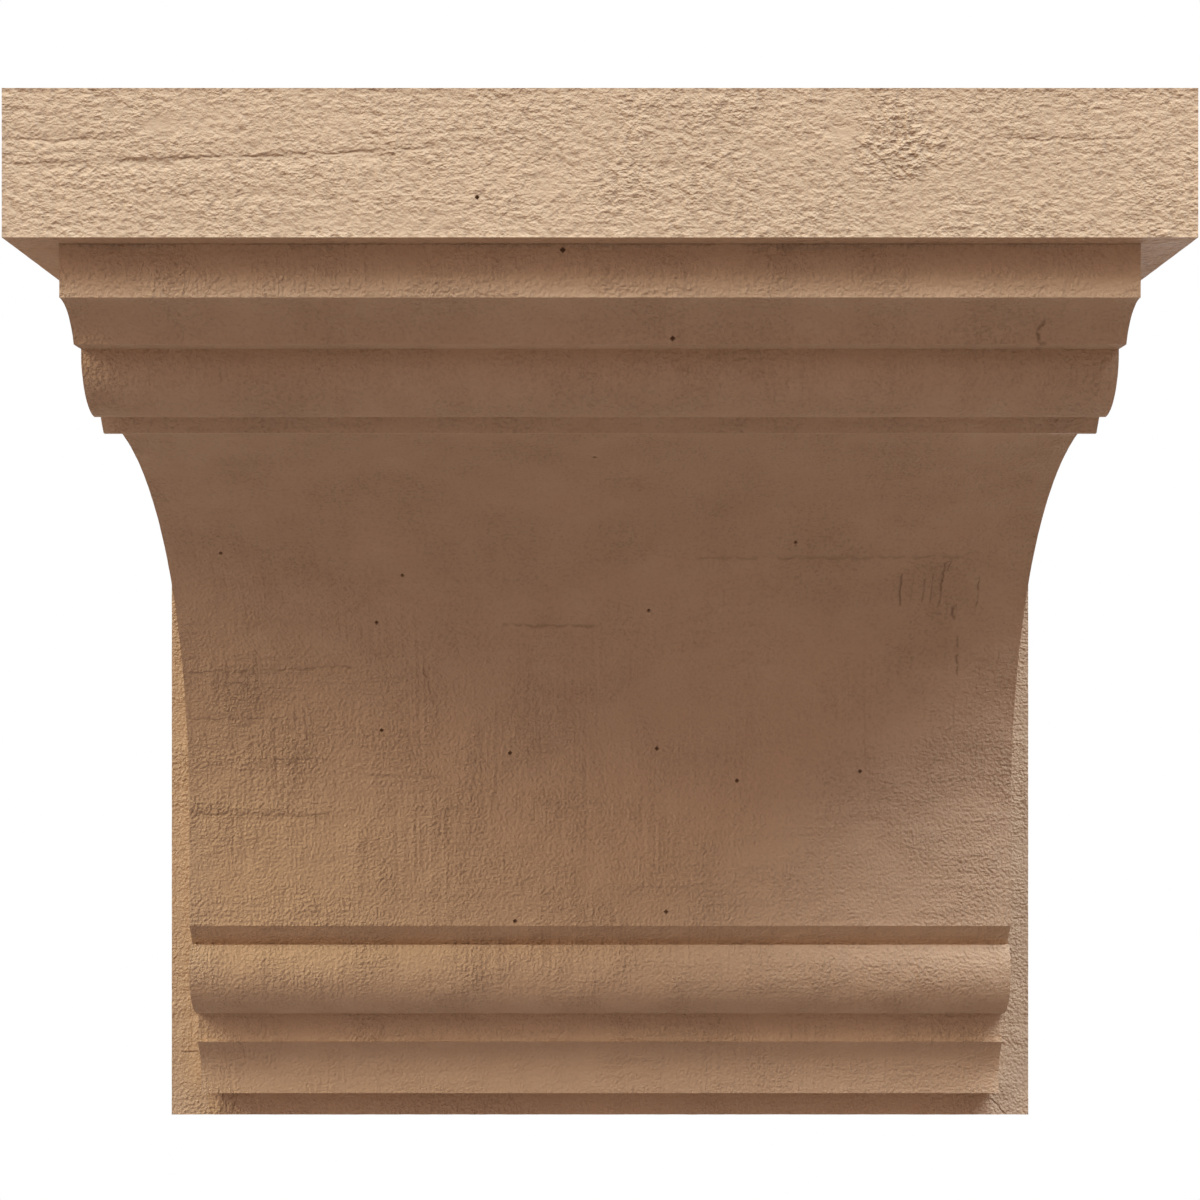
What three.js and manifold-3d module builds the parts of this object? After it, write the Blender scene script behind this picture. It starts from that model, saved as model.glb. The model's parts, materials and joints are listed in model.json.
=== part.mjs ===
// Wall corbel, cast in one piece with the look of rough-sawn timber.
//
// A square-edged slab caps it and takes the load. Below the slab a band of mouldings
// runs straight across, with plain flat ends: a fascia, a cavetto, an ovolo and a
// drip lip. A deep cove sweeps back from the lip to the wall plate, and a roundel
// and a small base moulding close the foot of it.
//
// Millimetres. +X is the right-hand side seen from the front, the viewer stands on
// the -Y side, and +Z is up. The origin is the middle of the flat face that meets
// the wall.

import * as THREE from 'three';
import { mergeVertices } from 'three/addons/utils/BufferGeometryUtils.js';
import Module from 'manifold-3d';

// Widths

const WIDTH = 304.8; // the slab and the wall plate, side to side
const SIDE_REVEAL = 12.7; // how far each end of the mouldings stands in from the slab

// Slab and wall plate

const SLAB_THICKNESS = 38.1;
const PLATE_THICKNESS = 38.1;
const PLATE_REVEAL = 9.8; // plate that shows below the base moulding

// Mouldings under the slab. A run goes back towards the wall, a drop goes down.

const FASCIA_SETBACK = 7.7; // fascia behind the front of the slab
const FASCIA_DROP = 13.9;
const CAVETTO_RUN = 15.1;
const CAVETTO_DROP = 9.7;
const SOFFIT_RUN = 8;
const OVOLO_RUN = 15.5;
const OVOLO_DROP = 16.3;
const QUIRK_RISE = 3.1; // groove that sets the ovolo off from the lip
const QUIRK_RUN = 5.3;
const LIP_BEVEL_RUN = 5.3;
const LIP_BEVEL_DROP = 6.3;
const LIP_FLAT = 1.6; // level underside of the drip lip
const LIP_RISE = 4.5; // back of the lip, up to the crown of the cove

// Cove

const COVE_RUN = 124;
const COVE_DROP = 122;
const COVE_FOOT = 35.2; // plumb face below the hollow
const FOOT_BEVEL_RUN = 5.9;
const FOOT_BEVEL_DROP = 6.8;

// Roundel, neck and base moulding

const ROUNDEL_LEDGE = 3.2; // level top of the roundel, in front of the bevel
const ROUNDEL_RADIUS = 16.3;
const ROUNDEL_SHOULDER = 9.1; // from the ledge down to the roundel's centre
const NECK_DROP = 9.6;
const BASE_LEDGE = 1.6; // base moulding in front of the neck
const BASE_CAVETTO_RUN = 7.4;
const BASE_CAVETTO_DROP = 15;
const BASE_FOOT = 4.3; // plumb face at the bottom of the base moulding
const BASE_SETBACK = 11.4; // wall plate behind that face

// Steps in each half of an arc, for the facets

const ARC_STEPS = 16;

// Finish

const FINISH_COLOUR = 0xb0916f;
const FINISH_ROUGHNESS = 0.85;

/**
 * Side outline of a run of mouldings, drawn downwards from the slab.
 * Its x is the distance behind the front of the slab, and its y the height above
 * the underside of the slab, so everything below the slab is negative.
 */
class Outline {
  constructor(depth, height) {
    this.shape = new THREE.Shape();
    this.shape.moveTo(depth, height);
    this.depth = depth;
    this.height = height;
  }

  /** Straight line to a given point. */
  to(depth, height) {
    this.shape.lineTo(depth, height);
    this.depth = depth;
    this.height = height;
    return this;
  }

  /** Level line, back towards the wall, or forward when the run is negative. */
  back(run) {
    return this.to(this.depth + run, this.height);
  }

  /** Plumb line, downwards, or upwards when the drop is negative. */
  down(drop) {
    return this.to(this.depth, this.height - drop);
  }

  /** Bevel. */
  slope(run, drop) {
    return this.to(this.depth + run, this.height - drop);
  }

  /** Arc about a centre, ending at the given point. */
  arc(centre, radii, from, until, clockwise, run, drop) {
    this.shape.absellipse(centre.x, centre.y, radii.x, radii.y, from, until, clockwise);
    this.depth += run;
    this.height -= drop;
    return this;
  }

  /** Quarter of a hollow: level where it starts and plumb where it ends. */
  cove(run, drop) {
    const centre = new THREE.Vector2(this.depth, this.height - drop);
    const radii = new THREE.Vector2(run, drop);
    return this.arc(centre, radii, Math.PI / 2, 0, true, run, drop);
  }

  /** Quarter of a round: plumb where it starts and level where it ends. */
  ovolo(run, drop) {
    const centre = new THREE.Vector2(this.depth + run, this.height);
    const radii = new THREE.Vector2(run, drop);
    return this.arc(centre, radii, Math.PI, 1.5 * Math.PI, false, run, drop);
  }

  /** Shallow hollow that starts level and ends in an arris. */
  cavettoFromLevel(run, drop) {
    const radius = (run * run + drop * drop) / (2 * drop);
    const centre = new THREE.Vector2(this.depth, this.height - radius);
    const radii = new THREE.Vector2(radius, radius);
    const end = Math.atan2(radius - drop, run);
    return this.arc(centre, radii, Math.PI / 2, end, true, run, drop);
  }

  /** Shallow hollow that starts at an arris and ends plumb. */
  cavettoToPlumb(run, drop) {
    const radius = (run * run + drop * drop) / (2 * run);
    const centre = new THREE.Vector2(this.depth + run - radius, this.height - drop);
    const radii = new THREE.Vector2(radius, radius);
    const start = Math.atan2(drop, radius - run);
    return this.arc(centre, radii, start, 0, true, run, drop);
  }

  /** Roundel cut level on top, and ending level right under its centre. */
  roundel(radius, shoulder) {
    const run = Math.sqrt(radius * radius - shoulder * shoulder);
    const centre = new THREE.Vector2(this.depth + run, this.height - shoulder);
    const radii = new THREE.Vector2(radius, radius);
    const start = Math.PI - Math.asin(shoulder / radius);
    return this.arc(centre, radii, start, 1.5 * Math.PI, false, run, shoulder + radius);
  }
}

/** Face of the mouldings from the slab to the foot, as an open outline. */
function mouldingFace() {
  const face = new Outline(FASCIA_SETBACK, 0);
  crownMouldings(face);
  coveAndFoot(face);
  baseMouldings(face);
  return face;
}

function crownMouldings(face) {
  face
    .down(FASCIA_DROP)
    .cavettoFromLevel(CAVETTO_RUN, CAVETTO_DROP)
    .back(SOFFIT_RUN)
    .ovolo(OVOLO_RUN, OVOLO_DROP)
    .down(-QUIRK_RISE)
    .back(QUIRK_RUN)
    .slope(LIP_BEVEL_RUN, LIP_BEVEL_DROP)
    .back(LIP_FLAT)
    .down(-LIP_RISE);
}

function coveAndFoot(face) {
  face.cove(COVE_RUN, COVE_DROP).down(COVE_FOOT).slope(FOOT_BEVEL_RUN, FOOT_BEVEL_DROP);
}

function baseMouldings(face) {
  face
    .back(-ROUNDEL_LEDGE)
    .roundel(ROUNDEL_RADIUS, ROUNDEL_SHOULDER)
    .down(NECK_DROP)
    .back(-BASE_LEDGE)
    .cavettoToPlumb(BASE_CAVETTO_RUN, BASE_CAVETTO_DROP)
    .down(BASE_FOOT);
}

/**
 * Prism across the corbel. The outline's x becomes +Y and its y becomes +Z,
 * and the prism is centred on X.
 */
function across(shape, width) {
  const options = { depth: width, bevelEnabled: false, curveSegments: ARC_STEPS };
  const geometry = new THREE.ExtrudeGeometry(shape, options);
  geometry.translate(0, 0, -width / 2);
  const turn = new THREE.Matrix4().makeBasis(
    new THREE.Vector3(0, 1, 0),
    new THREE.Vector3(0, 0, 1),
    new THREE.Vector3(1, 0, 0),
  );
  return geometry.applyMatrix4(turn);
}

/** Outline of a board whose corners are given as (depth, height) pairs. */
function board(nearDepth, farDepth, bottom, top) {
  return new Outline(nearDepth, bottom).to(farDepth, bottom).to(farDepth, top).to(nearDepth, top).shape;
}

const wasm = await Module();
wasm.setup();

/** Closed geometry as a solid that can be joined. */
function toSolid(geometry) {
  geometry.deleteAttribute('normal');
  geometry.deleteAttribute('uv');
  const merged = mergeVertices(geometry);
  const mesh = new wasm.Mesh({
    numProp: 3,
    vertProperties: new Float32Array(merged.attributes.position.array),
    triVerts: new Uint32Array(merged.index.array),
  });
  return new wasm.Manifold(mesh);
}

/** Joined solid back as a flat-shaded geometry. */
function toGeometry(solid) {
  const mesh = solid.getMesh();
  const indexed = new THREE.BufferGeometry();
  indexed.setAttribute('position', new THREE.BufferAttribute(mesh.vertProperties, 3));
  indexed.setIndex(new THREE.BufferAttribute(mesh.triVerts, 1));
  const geometry = indexed.toNonIndexed();
  geometry.computeVertexNormals();
  return geometry;
}

/** The whole casting: slab, mouldings and wall plate, as one solid. */
function castingGeometry() {
  const face = mouldingFace();
  const plateFront = face.depth + BASE_SETBACK;
  const wall = plateFront + PLATE_THICKNESS;
  const foot = face.height - PLATE_REVEAL;

  // The mouldings run half way into the slab and the plate, so that the three join.
  const plateMiddle = plateFront + PLATE_THICKNESS / 2;
  const slabMiddle = SLAB_THICKNESS / 2;
  face.to(plateMiddle, face.height).to(plateMiddle, slabMiddle).to(FASCIA_SETBACK, slabMiddle);

  const mouldings = toSolid(across(face.shape, WIDTH - 2 * SIDE_REVEAL));
  const slab = toSolid(across(board(0, wall, 0, SLAB_THICKNESS), WIDTH));
  const plate = toSolid(across(board(plateFront, wall, foot, slabMiddle), WIDTH));
  const casting = toGeometry(slab.add(plate).add(mouldings));

  // The wall face goes to Y = 0, and its middle to Z = 0.
  return casting.translate(0, -wall, -(SLAB_THICKNESS + foot) / 2);
}

const finish = new THREE.MeshStandardMaterial({
  color: FINISH_COLOUR,
  roughness: FINISH_ROUGHNESS,
  metalness: 0,
});

const corbel = new THREE.Mesh(castingGeometry(), finish);
corbel.name = 'corbel';

const part = new THREE.Group();
part.add(corbel);

export default part;
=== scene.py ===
"""Dressed model of a wall corbel, cast in one piece with a rough-sawn timber face.

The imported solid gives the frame: its box sets the width, height and depth. The casting
is modelled again on that frame with a finer skin, which carries the sawn relief, the
torn grain, the knot and the pinholes of the cast surface. Metres throughout, +Z up,
the viewer on the -Y side and the wall face at Y = 0.
"""

import json
import logging
import math
from dataclasses import dataclass, field
from enum import Enum
from typing import Callable

import bmesh
import bpy
import numpy as np
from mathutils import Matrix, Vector, noise

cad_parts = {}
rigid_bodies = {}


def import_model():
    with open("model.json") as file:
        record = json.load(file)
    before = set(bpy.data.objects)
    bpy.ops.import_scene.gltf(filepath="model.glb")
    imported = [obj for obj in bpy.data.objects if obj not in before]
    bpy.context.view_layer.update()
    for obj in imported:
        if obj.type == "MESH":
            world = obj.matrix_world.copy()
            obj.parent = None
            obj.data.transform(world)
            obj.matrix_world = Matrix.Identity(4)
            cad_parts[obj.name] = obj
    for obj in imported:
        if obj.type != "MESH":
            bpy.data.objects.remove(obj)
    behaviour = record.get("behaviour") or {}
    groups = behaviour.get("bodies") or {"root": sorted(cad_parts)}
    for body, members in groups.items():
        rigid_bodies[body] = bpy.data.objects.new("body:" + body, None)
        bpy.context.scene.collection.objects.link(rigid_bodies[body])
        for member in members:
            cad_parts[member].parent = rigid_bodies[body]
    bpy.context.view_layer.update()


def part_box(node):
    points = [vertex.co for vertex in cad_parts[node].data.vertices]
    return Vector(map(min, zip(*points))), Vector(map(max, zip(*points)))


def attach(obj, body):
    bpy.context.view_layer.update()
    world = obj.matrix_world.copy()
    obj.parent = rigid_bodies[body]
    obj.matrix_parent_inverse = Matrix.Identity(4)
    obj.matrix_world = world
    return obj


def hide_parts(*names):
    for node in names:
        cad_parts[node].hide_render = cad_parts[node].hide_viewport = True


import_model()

NODE = "corbel"
BODY = "root"
MM = 0.001
TINY = 0.02 * MM
QUARTER = math.pi / 2

LOG = logging.getLogger("corbel")

Move = tuple[float, float]
Size = tuple[float, float, float]
FaceTest = Callable[[bmesh.types.BMFace], bool]
EdgeTest = Callable[[bmesh.types.BMEdge], bool]


def make_active(piece: bpy.types.Object) -> None:
    """Select one object alone and make it the active one.

    Args:
        piece: The object to work on.
    """
    bpy.ops.object.select_all(action="DESELECT")
    piece.select_set(True)
    bpy.context.view_layer.objects.active = piece


def select_faces(piece: bpy.types.Object, wanted: FaceTest) -> int:
    """Select the faces of an object in edit mode that pass a test, and nothing else.

    Args:
        piece: Object that is in edit mode.
        wanted: Test that a face has to pass.

    Returns:
        How many faces are selected.
    """
    bpy.ops.mesh.select_mode(type="FACE")
    bpy.ops.mesh.select_all(action="DESELECT")
    mesh = bmesh.from_edit_mesh(piece.data)
    chosen = [face for face in mesh.faces if wanted(face)]
    for face in chosen:
        face.select_set(True)
    bmesh.update_edit_mesh(piece.data, loop_triangles=False, destructive=False)
    return len(chosen)


def select_edges(piece: bpy.types.Object, wanted: EdgeTest) -> int:
    """Select the edges of an object in edit mode that pass a test, and nothing else.

    Args:
        piece: Object that is in edit mode.
        wanted: Test that an edge has to pass.

    Returns:
        How many edges are selected.
    """
    bpy.ops.mesh.select_mode(type="EDGE")
    bpy.ops.mesh.select_all(action="DESELECT")
    mesh = bmesh.from_edit_mesh(piece.data)
    chosen = [edge for edge in mesh.edges if wanted(edge)]
    for edge in chosen:
        edge.select_set(True)
    bmesh.update_edit_mesh(piece.data, loop_triangles=False, destructive=False)
    return len(chosen)


def wave(along: float, length: float, seed: float, layer: float) -> float:
    """Smooth random number along a line, from about -1 to 1."""
    return noise.noise(Vector((along / length, seed, layer)))


def crumbs(place: Vector, size: Size, octaves: int, falloff: float = 0.8) -> float:
    """Height of crumbs at a point, mostly between 0 and 1.

    Args:
        place: The point.
        size: Size of the crumbs along each axis.
        octaves: How many finer layers are added up.
        falloff: How fast the finer layers weaken.

    Returns:
        The height.
    """
    scaled = Vector((place.x / size[0], place.y / size[1], place.z / size[2]))
    return 0.5 + 0.6 * noise.fractal(scaled, falloff, 2.0, octaves)


@dataclass(frozen=True)
class MeshSteps:
    """Spacings of the casting's skin, finest where the eye comes closest."""

    face: float = 1.6 * MM
    end: float = 2.4 * MM
    foot: float = 4.0 * MM
    hidden: float = 11.0 * MM
    snap: float = 0.5 * MM


@dataclass
class Section:
    """The corbel's side view, as a chain of moves. A run goes back, a drop goes down."""

    height: float
    depth: float
    steps: MeshSteps = field(default_factory=MeshSteps)
    slab_thickness: float = 38.1 * MM
    plate_thickness: float = 38.1 * MM
    fascia_setback: float = 7.7 * MM
    fascia_drop: float = 13.9 * MM
    cavetto_run: float = 15.1 * MM
    cavetto_drop: float = 9.7 * MM
    soffit_run: float = 8.0 * MM
    ovolo_run: float = 15.5 * MM
    ovolo_drop: float = 16.3 * MM
    quirk_rise: float = 3.1 * MM
    quirk_run: float = 5.3 * MM
    lip_bevel_run: float = 5.3 * MM
    lip_bevel_drop: float = 6.3 * MM
    lip_flat: float = 1.6 * MM
    lip_rise: float = 4.5 * MM
    cove_run: float = 124.0 * MM
    cove_drop: float = 122.0 * MM
    cove_foot: float = 35.2 * MM
    foot_bevel_run: float = 5.9 * MM
    foot_bevel_drop: float = 6.8 * MM
    roundel_ledge: float = 3.2 * MM
    roundel_radius: float = 16.3 * MM
    roundel_shoulder: float = 9.1 * MM
    neck_drop: float = 9.6 * MM
    base_ledge: float = 1.6 * MM
    base_cavetto_run: float = 7.4 * MM
    base_cavetto_drop: float = 15.0 * MM
    base_foot: float = 4.3 * MM
    fewest_moves: int = 4

    def _line(self, run: float, drop: float, step: float | None = None) -> list[Move]:
        """Split a straight stretch.

        Args:
            run: How far it goes back.
            drop: How far it goes down.
            step: Longest move, or None for that of the face.

        Returns:
            Equal moves.
        """
        count = max(1, round(math.hypot(run, drop) / (step or self.steps.face)))
        return [(run / count, drop / count)] * count

    def _arc(self, run_radius: float, drop_radius: float, start: float, end: float) -> list[Move]:
        """Split an arc of an ellipse.

        Args:
            run_radius: Radius along the depth.
            drop_radius: Radius along the height.
            start: Angle at the start, turning upwards from straight back.
            end: Angle at the end.

        Returns:
            Moves of about one step each.
        """
        length = abs(end - start) * (run_radius + drop_radius) / 2
        count = max(self.fewest_moves, round(length / self.steps.face))
        angles = [start + (end - start) * i / count for i in range(count + 1)]
        return [
            (run_radius * (math.cos(b) - math.cos(a)), drop_radius * (math.sin(a) - math.sin(b)))
            for a, b in zip(angles, angles[1:])
        ]

    def _mouldings(self) -> list[Move]:
        """Moves from the underside of the slab down to the foot of the base moulding."""
        cavetto = (self.cavetto_run**2 + self.cavetto_drop**2) / (2 * self.cavetto_drop)
        cavetto_end = math.atan2(cavetto - self.cavetto_drop, self.cavetto_run)
        base = (self.base_cavetto_run**2 + self.base_cavetto_drop**2) / (2 * self.base_cavetto_run)
        base_start = math.atan2(self.base_cavetto_drop, base - self.base_cavetto_run)
        roundel_start = math.pi - math.asin(self.roundel_shoulder / self.roundel_radius)
        return [
            *self._line(0, self.fascia_drop),
            *self._arc(cavetto, cavetto, QUARTER, cavetto_end),
            *self._line(self.soffit_run, 0),
            *self._arc(self.ovolo_run, self.ovolo_drop, 2 * QUARTER, 3 * QUARTER),
            *self._line(0, -self.quirk_rise),
            *self._line(self.quirk_run, 0),
            *self._line(self.lip_bevel_run, self.lip_bevel_drop),
            *self._line(self.lip_flat, 0),
            *self._line(0, -self.lip_rise),
            *self._arc(self.cove_run, self.cove_drop, QUARTER, 0),
            *self._line(0, self.cove_foot),
            *self._line(self.foot_bevel_run, self.foot_bevel_drop),
            *self._line(-self.roundel_ledge, 0),
            *self._arc(self.roundel_radius, self.roundel_radius, roundel_start, 3 * QUARTER),
            *self._line(0, self.neck_drop),
            *self._line(-self.base_ledge, 0),
            *self._arc(base, base, base_start, 0),
            *self._line(0, self.base_foot),
        ]

    def moves(self) -> list[Move]:
        """Moves of the whole side view.

        Returns:
            The moves from the slab's upper front arris round to the same place.
        """
        front = [
            *self._line(0, self.slab_thickness),
            *self._line(self.fascia_setback, 0),
            *self._mouldings(),
        ]
        reached = sum(run for run, _ in front)
        dropped = sum(drop for _, drop in front)
        return [
            *front,
            *self._line(self.depth - self.plate_thickness - reached, 0),
            *self._line(0, self.height - dropped),
            *self._line(self.plate_thickness, 0, self.steps.foot),
            *self._line(0, -self.height, self.steps.hidden),
            *self._line(-self.depth, 0, self.steps.hidden),
        ]


@dataclass
class Casting:
    """The corbel as one casting: capping slab, mouldings, cove, roundel and wall plate."""

    low: Vector
    high: Vector
    side_reveal: float = 12.7 * MM
    steps: MeshSteps = field(default_factory=MeshSteps)

    def __post_init__(self) -> None:
        """Work out the section and the planes that part it."""
        size = self.high - self.low
        self.section = Section(size.z, size.y, self.steps)
        self.underside = self.high.z - self.section.slab_thickness
        self.plate_front = self.high.y - self.section.plate_thickness
        self.shoulder = self.high.x - self.side_reveal

    def build(self) -> bpy.types.Object:
        """Model the clean casting, before its relief.

        Returns:
            The casting as one closed mesh.
        """
        piece = self._draw_section()
        self._part_section()
        self._draw_out(piece)
        self._divide_across(piece)
        self._divide_slab_face(piece)
        self._divide_ends(piece)
        bpy.ops.mesh.select_all(action="SELECT")
        bpy.ops.mesh.normals_make_consistent(inside=False)
        bpy.ops.object.mode_set(mode="OBJECT")
        return piece

    def _draw_section(self) -> bpy.types.Object:
        """Draw the side view from one point, move by move, and face it.

        Returns:
            The side view as one flat face, in edit mode.
        """
        bpy.ops.object.select_all(action="DESELECT")
        start = (-self.shoulder, self.low.y, self.high.z)
        bpy.ops.mesh.primitive_plane_add(size=MM, location=start)
        piece = bpy.context.object
        piece.name = "cast_corbel"
        bpy.ops.object.transform_apply(location=True, rotation=True, scale=True)
        bpy.ops.object.mode_set(mode="EDIT")
        bpy.ops.mesh.select_mode(type="VERT")
        bpy.ops.mesh.select_all(action="SELECT")
        bpy.ops.mesh.merge(type="CENTER")
        for run, drop in self.section.moves():
            bpy.ops.mesh.extrude_vertices_move(TRANSFORM_OT_translate={"value": (0, run, -drop)})
        bpy.ops.mesh.select_all(action="SELECT")
        bpy.ops.mesh.remove_doubles(threshold=TINY)
        bpy.ops.mesh.select_all(action="SELECT")
        bpy.ops.mesh.edge_face_add()
        return piece

    def _part_section(self) -> None:
        """Part the side view where the slab and the plate meet the mouldings."""
        self._cut(Vector((0, 0, self.underside)), Vector((0, 0, 1)))
        self._cut(Vector((0, self.plate_front, 0)), Vector((0, 1, 0)))

    def _cut(self, point: Vector, normal: Vector) -> None:
        """Cut all that is shown in edit mode along a plane."""
        bpy.ops.mesh.select_all(action="SELECT")
        bpy.ops.mesh.bisect(plane_co=point, plane_no=normal, threshold=self.steps.snap)

    def _draw_out(self, piece: bpy.types.Object) -> None:
        """Draw the side view out across the mouldings, then the slab and plate past them.

        Args:
            piece: The side view, in edit mode.
        """
        bpy.ops.mesh.select_all(action="SELECT")
        bpy.ops.mesh.extrude_region_move(
            TRANSFORM_OT_translate={"value": (2 * self.shoulder, 0, 0)}
        )
        for side in (-1, 1):
            select_faces(piece, lambda face: self._is_wing_root(face, side))
            bpy.ops.mesh.extrude_region_move(
                TRANSFORM_OT_translate={"value": (side * self.side_reveal, 0, 0)}
            )

    def _is_wing_root(self, face: bmesh.types.BMFace, side: int) -> bool:
        """Whether an end face belongs to the slab or the plate on one side."""
        place = face.calc_center_median()
        at_shoulder = abs(place.x - side * self.shoulder) < TINY
        return at_shoulder and (place.z > self.underside or place.y > self.plate_front)

    def _divide_across(self, piece: bpy.types.Object) -> None:
        """Divide what runs across the corbel into columns, first the middle, then the wings.

        Args:
            piece: The casting, in edit mode.
        """
        columns = round(self.shoulder / self.steps.face)
        wing_columns = round(self.side_reveal / self.steps.face)
        widths = ((2 * self.shoulder, 2), (self.shoulder, columns), (self.side_reveal, wing_columns))
        for width, parts in widths:
            select_edges(piece, lambda edge: self._is_across(edge, width))
            bpy.ops.mesh.subdivide(number_cuts=parts - 1)

    @staticmethod
    def _is_across(edge: bmesh.types.BMEdge, width: float) -> bool:
        """Whether an edge runs straight across the corbel and is at least so long."""
        first, second = (vert.co for vert in edge.verts)
        level = abs(first.y - second.y) < TINY and abs(first.z - second.z) < TINY
        return level and edge.calc_length() > width - TINY

    def _divide_slab_face(self, piece: bpy.types.Object) -> None:
        """Halve the spacing on the front of the slab, where the torn grain is.

        Args:
            piece: The casting, in edit mode.
        """
        bpy.ops.mesh.normals_make_consistent(inside=False)
        select_faces(piece, self._is_slab_face)
        bpy.ops.mesh.subdivide(number_cuts=1)

    def _is_slab_face(self, face: bmesh.types.BMFace) -> bool:
        """Whether a face lies on the front of the slab."""
        return all(abs(vert.co.y - self.low.y) < TINY for vert in face.verts)

    def _divide_ends(self, piece: bpy.types.Object) -> None:
        """Cut the ends, and the slab and plate beside the mouldings, into a net.

        Args:
            piece: The casting, in edit mode.
        """
        select_faces(piece, self._is_end)
        bpy.ops.mesh.hide(unselected=True)
        self._cut_rows(Vector((0, 1, 0)), self.low.y, self.high.y, self.steps.end)
        bpy.ops.mesh.reveal(select=False)
        select_faces(piece, lambda face: self._is_end(face) or self._is_plate_strip(face))
        bpy.ops.mesh.hide(unselected=True)
        self._cut_rows(Vector((0, 0, 1)), self.low.z, self.underside, self.steps.end)
        self._cut_rows(Vector((0, 0, 1)), self.underside, self.high.z, self.steps.face)
        bpy.ops.mesh.reveal(select=False)

    def _cut_rows(self, normal: Vector, start: float, end: float, step: float) -> None:
        """Cut what is shown into rows between two planes.

        Args:
            normal: Direction from row to row.
            start: Place of the first plane along it, which isn't cut.
            end: Place of the last plane along it, which isn't cut.
            step: About the height of a row.
        """
        rows = round((end - start) / step)
        for row in range(1, rows):
            self._cut(normal * (start + (end - start) * row / rows), normal)

    def _is_end(self, face: bmesh.types.BMFace) -> bool:
        """Whether a face lies on an end, or under the slab beside the mouldings.

        Args:
            face: The face.

        Returns:
            True if it does.
        """
        place = face.calc_center_median()
        if all(abs(abs(vert.co.x) - abs(place.x)) < TINY for vert in face.verts):
            return abs(place.x) > self.shoulder - TINY
        return abs(place.x) > self.shoulder and abs(place.z - self.underside) < TINY

    def _is_plate_strip(self, face: bmesh.types.BMFace) -> bool:
        """Whether a face lies on the front of the plate beside the mouldings."""
        place = face.calc_center_median()
        return abs(place.x) > self.shoulder and abs(place.y - self.plate_front) < TINY


class Zone(Enum):
    """Zones of the casting's skin, each with how coarse it is beside the slab's front.

    Two zones of the same coarseness would be one, so what is below the slab is a single zone.
    """

    SLAB_FACE = 1.0
    SLAB_SIDE = 0.9
    BELOW_SLAB = 0.5
    WALL_FACE = 0.2


@dataclass(frozen=True)
class Tear:
    """A tear in the slab's grain, placed on its front by width and height."""

    start: float
    end: float
    height: float
    rise: float
    depth: float
    seed: float
    half_width: float = 1.0 * MM
    wander: float = 0.9 * MM
    fade: float = 12 * MM
    wave_length: float = 16 * MM
    ripple_length: float = 4.5 * MM
    strength_length: float = 9 * MM
    upper_sharpness: float = 3.0
    lower_sharpness: float = 0.45

    def fall(self, x: float, z: float) -> float:
        """How far the surface falls back at a point of the slab's front.

        Args:
            x: Place across.
            z: Height.

        Returns:
            Depth in metres, sharp above the tear's line and running out below it.
        """
        along = min(x - self.start, self.end - x) / self.fade
        if along <= 0:
            return 0.0
        slope = self.rise * (x - self.start) / (self.end - self.start)
        bend = wave(x, self.wave_length, self.seed, 0.5)
        bend += 0.5 * wave(x, self.ripple_length, self.seed, 7.5)
        away = (z - self.height - slope - self.wander * bend) / self.half_width
        sharpness = self.upper_sharpness if away > 0 else self.lower_sharpness
        strength = 0.65 + 0.7 * wave(x, self.strength_length, self.seed, 3.5)
        return self.depth * strength * math.exp(-sharpness * away * away) * min(1.0, along)


@dataclass(frozen=True)
class Knot:
    """A crumpled patch where the slab's grain turns round a knot."""

    x: float = 76.5 * MM
    z: float = 137.5 * MM
    half_width: float = 15.0 * MM
    half_height: float = 12.0 * MM
    depth: float = 0.5 * MM
    edge: float = 1.8
    fibre_length: float = 4.5 * MM
    fibre_width: float = 2.4 * MM
    coarser: float = 0.7

    def share(self, x: float, z: float) -> float:
        """How much of the knot shows at a point, from 0 to 1."""
        reach = math.hypot((x - self.x) / self.half_width, (z - self.z) / self.half_height)
        return max(0.0, min(1.0, self.edge * (1.0 - reach)))

    def fall(self, x: float, z: float) -> float:
        """Depth of the crumpled fibre at a point, in metres, as if the whole knot showed."""
        turned = Vector(((x + 0.5 * z) / self.fibre_length, (z - 0.4 * x) / self.fibre_width, 3.0))
        return self.depth * (0.5 + 0.8 * noise.fractal(turned, 0.7, 2.0, 2))


@dataclass(frozen=True)
class Band:
    """A rougher or smoother patch of the skin, placed from the front by width and height."""

    x: float
    z: float
    half_width: float
    half_height: float
    change: float

    def weight(self, x: float, z: float) -> float:
        """Change in roughness at a point, fading out from the middle of the patch."""
        reach = ((x - self.x) / self.half_width) ** 2 + ((z - self.z) / self.half_height) ** 2
        return self.change * math.exp(-reach)


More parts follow.
